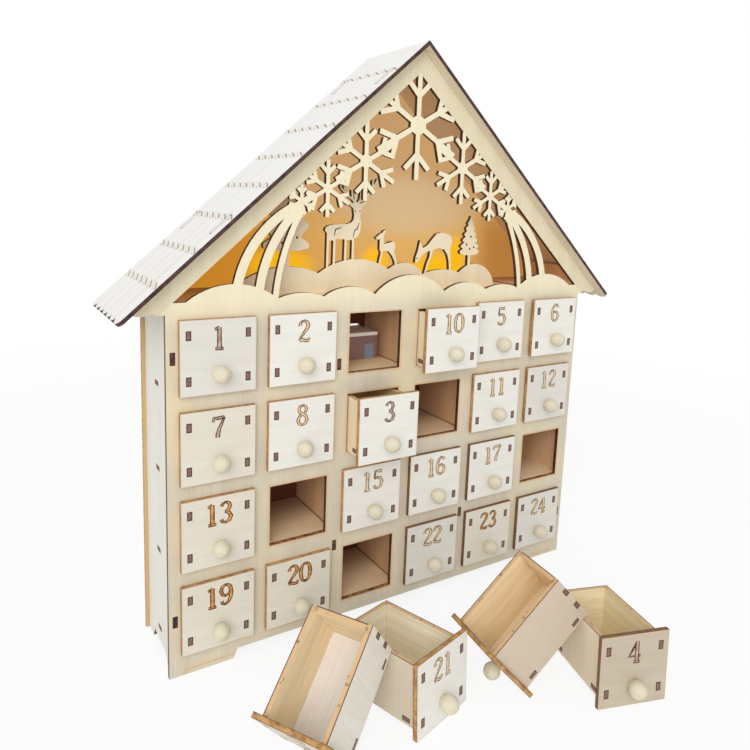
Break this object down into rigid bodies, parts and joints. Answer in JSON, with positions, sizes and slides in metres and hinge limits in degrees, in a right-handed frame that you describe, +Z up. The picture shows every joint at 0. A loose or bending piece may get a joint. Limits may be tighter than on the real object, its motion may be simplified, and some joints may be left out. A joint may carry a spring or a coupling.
{
  "type": "wooden advent calendar",
  "caption": "House-shaped wooden advent calendar with a grid of small numbered drawers, a lit snow scene behind a cut-out gable and a steep shingled roof.",
  "frame": {"origin": "on the floor under the middle of the rear panel, in the middle of its thickness", "axes": "+Z up along the height, -Y out of the numbered front, +X to the right of someone who faces it"},
  "size_m": [0.327, 0.1975, 0.3347],
  "materials": {
    "panel_ply": "satin",
    "face_ply": "satin",
    "tray_ply": "matte",
    "scene_ply": "matte",
    "roof_paint": "matte",
    "lamp_plastic": "gloss",
    "box_plastic": "matte",
    "cover_plastic": "matte",
    "cell_steel": "brushed",
    "switch_plastic": "matte"
  },
  "bodies": {
    "house": {"front_panel": "panel_ply", "snow_scene_panel": "scene_ply", "rear_panel": "panel_ply", "left_wall": "panel_ply", "right_wall": "panel_ply", "shelves": "panel_ply", "cell_dividers": "panel_ply", "left_roof": "roof_paint", "right_roof": "roof_paint", "lamp_strip": "lamp_plastic", "battery_box": "box_plastic", "button_cells": "cell_steel"},
    "battery_cover": {"battery_cover": "cover_plastic"},
    "power_switch": {"power_switch": "switch_plastic"},
    "drawer_01": {"drawer_01_face": "face_ply", "drawer_01_tray": "tray_ply"},
    "drawer_02": {"drawer_02_face": "face_ply", "drawer_02_tray": "tray_ply"},
    "drawer_10": {"drawer_10_face": "face_ply", "drawer_10_tray": "tray_ply"},
    "drawer_05": {"drawer_05_face": "face_ply", "drawer_05_tray": "tray_ply"},
    "drawer_06": {"drawer_06_face": "face_ply", "drawer_06_tray": "tray_ply"},
    "drawer_07": {"drawer_07_face": "face_ply", "drawer_07_tray": "tray_ply"},
    "drawer_08": {"drawer_08_face": "face_ply", "drawer_08_tray": "tray_ply"},
    "drawer_03": {"drawer_03_face": "face_ply", "drawer_03_tray": "tray_ply"},
    "drawer_11": {"drawer_11_face": "face_ply", "drawer_11_tray": "tray_ply"},
    "drawer_12": {"drawer_12_face": "face_ply", "drawer_12_tray": "tray_ply"},
    "drawer_13": {"drawer_13_face": "face_ply", "drawer_13_tray": "tray_ply"},
    "drawer_15": {"drawer_15_face": "face_ply", "drawer_15_tray": "tray_ply"},
    "drawer_16": {"drawer_16_face": "face_ply", "drawer_16_tray": "tray_ply"},
    "drawer_17": {"drawer_17_face": "face_ply", "drawer_17_tray": "tray_ply"},
    "drawer_19": {"drawer_19_face": "face_ply", "drawer_19_tray": "tray_ply"},
    "drawer_20": {"drawer_20_face": "face_ply", "drawer_20_tray": "tray_ply"},
    "drawer_22": {"drawer_22_face": "face_ply", "drawer_22_tray": "tray_ply"},
    "drawer_23": {"drawer_23_face": "face_ply", "drawer_23_tray": "tray_ply"},
    "drawer_24": {"drawer_24_face": "face_ply", "drawer_24_tray": "tray_ply"},
    "drawer_21": {"drawer_21_face": "face_ply", "drawer_21_tray": "tray_ply"},
    "drawer_04": {"drawer_04_face": "face_ply", "drawer_04_tray": "tray_ply"},
    "drawer_09": {"drawer_09_face": "face_ply", "drawer_09_tray": "tray_ply"},
    "drawer_14": {"drawer_14_face": "face_ply", "drawer_14_tray": "tray_ply"}
  },
  "joints": [
    {"name": "battery_cover_slide", "type": "slide", "parent": "house", "child": "battery_cover", "axis": [0, 1, 0], "range_m": [0, 0.026]},
    {"name": "power_switch_slide", "type": "slide", "parent": "house", "child": "power_switch", "axis": [1, 0, 0], "range_m": [0, 0.0034]},
    {"name": "drawer_01_slide", "type": "slide", "parent": "house", "child": "drawer_01", "axis": [0, -1, 0], "range_m": [0, 0.046]},
    {"name": "drawer_02_slide", "type": "slide", "parent": "house", "child": "drawer_02", "axis": [0, -1, 0], "range_m": [0, 0.046]},
    {"name": "drawer_10_slide", "type": "slide", "parent": "house", "child": "drawer_10", "axis": [0, -1, 0], "range_m": [-0.01, 0.036]},
    {"name": "drawer_05_slide", "type": "slide", "parent": "house", "child": "drawer_05", "axis": [0, -1, 0], "range_m": [0, 0.046]},
    {"name": "drawer_06_slide", "type": "slide", "parent": "house", "child": "drawer_06", "axis": [0, -1, 0], "range_m": [-0.0016, 0.0444]},
    {"name": "drawer_07_slide", "type": "slide", "parent": "house", "child": "drawer_07", "axis": [0, -1, 0], "range_m": [0, 0.046]},
    {"name": "drawer_08_slide", "type": "slide", "parent": "house", "child": "drawer_08", "axis": [0, -1, 0], "range_m": [0, 0.046]},
    {"name": "drawer_03_slide", "type": "slide", "parent": "house", "child": "drawer_03", "axis": [0, -1, 0], "range_m": [-0.0152, 0.0308]},
    {"name": "drawer_11_slide", "type": "slide", "parent": "house", "child": "drawer_11", "axis": [0, -1, 0], "range_m": [0, 0.046]},
    {"name": "drawer_12_slide", "type": "slide", "parent": "house", "child": "drawer_12", "axis": [0, -1, 0], "range_m": [0, 0.046]},
    {"name": "drawer_13_slide", "type": "slide", "parent": "house", "child": "drawer_13", "axis": [0, -1, 0], "range_m": [0, 0.046]},
    {"name": "drawer_15_slide", "type": "slide", "parent": "house", "child": "drawer_15", "axis": [0, -1, 0], "range_m": [0, 0.046]},
    {"name": "drawer_16_slide", "type": "slide", "parent": "house", "child": "drawer_16", "axis": [0, -1, 0], "range_m": [0, 0.046]},
    {"name": "drawer_17_slide", "type": "slide", "parent": "house", "child": "drawer_17", "axis": [0, -1, 0], "range_m": [0, 0.046]},
    {"name": "drawer_19_slide", "type": "slide", "parent": "house", "child": "drawer_19", "axis": [0, -1, 0], "range_m": [0, 0.046]},
    {"name": "drawer_20_slide", "type": "slide", "parent": "house", "child": "drawer_20", "axis": [0, -1, 0], "range_m": [0, 0.03]},
    {"name": "drawer_22_slide", "type": "slide", "parent": "house", "child": "drawer_22", "axis": [0, -1, 0], "range_m": [0, 0.046]},
    {"name": "drawer_23_slide", "type": "slide", "parent": "house", "child": "drawer_23", "axis": [0, -1, 0], "range_m": [0, 0.046]},
    {"name": "drawer_24_slide", "type": "slide", "parent": "house", "child": "drawer_24", "axis": [0, -1, 0], "range_m": [0, 0.046]},
    {"name": "drawer_21_lift", "type": "slide", "parent": "house", "child": "drawer_21", "axis": [0, 0, 1], "range_m": [0, 0.015]},
    {"name": "drawer_04_lift", "type": "slide", "parent": "house", "child": "drawer_04", "axis": [0, 0, 1], "range_m": [0, 0.015]},
    {"name": "drawer_09_lift", "type": "slide", "parent": "drawer_21", "child": "drawer_09", "axis": [0, 0, 1], "range_m": [0, 0.015]},
    {"name": "drawer_14_lift", "type": "slide", "parent": "drawer_04", "child": "drawer_14", "axis": [0, 0, 1], "range_m": [0, 0.015]}
  ]
}
